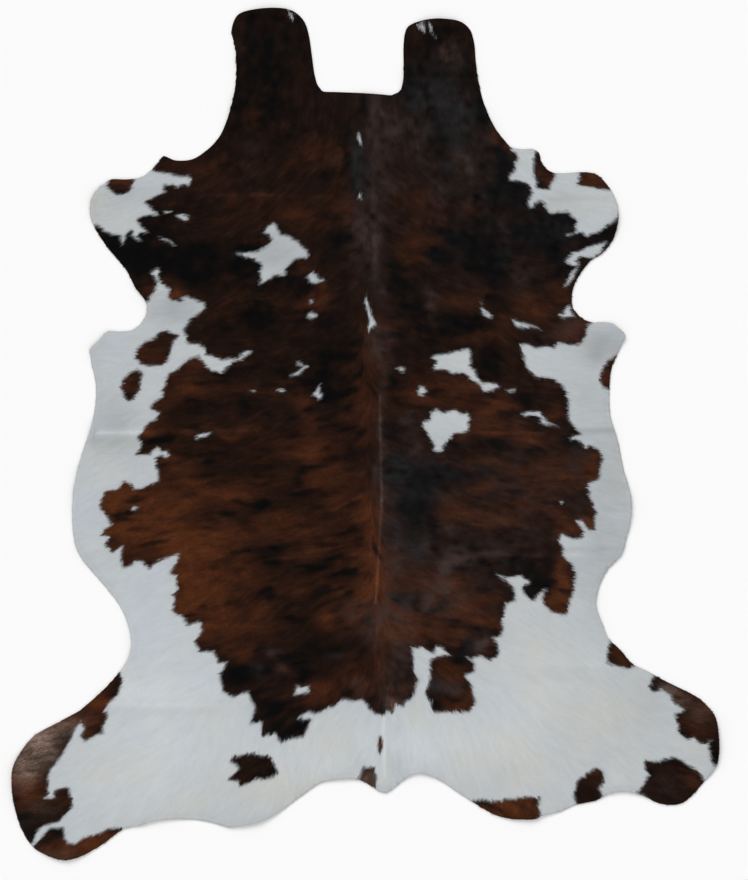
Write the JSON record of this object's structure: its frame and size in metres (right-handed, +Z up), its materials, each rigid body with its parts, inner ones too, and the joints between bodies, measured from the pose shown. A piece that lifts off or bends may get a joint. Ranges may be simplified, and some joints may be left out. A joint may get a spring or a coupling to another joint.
{
  "type": "cowhide rug",
  "caption": "Whole hair-on cowhide rug lying flat, with its natural outline and soft shipping folds; dark brindle and white coat over a suede back.",
  "frame": {"origin": "middle of the hide's outline box, on the floor under it", "axes": "+X towards the foreleg and hind leg on the right seen from above, +Y along the back to the neck, +Z up through the hair"},
  "size_m": [1.9102, 2.3012, 0.0147],
  "materials": {
    "hair_coat": "short laid hair with a soft gloss, black and chestnut brindle with white patches",
    "suede_back": "matt natural suede"
  },
  "bodies": {
    "root": {"hide": "hair_coat"}
  },
  "joints": []
}
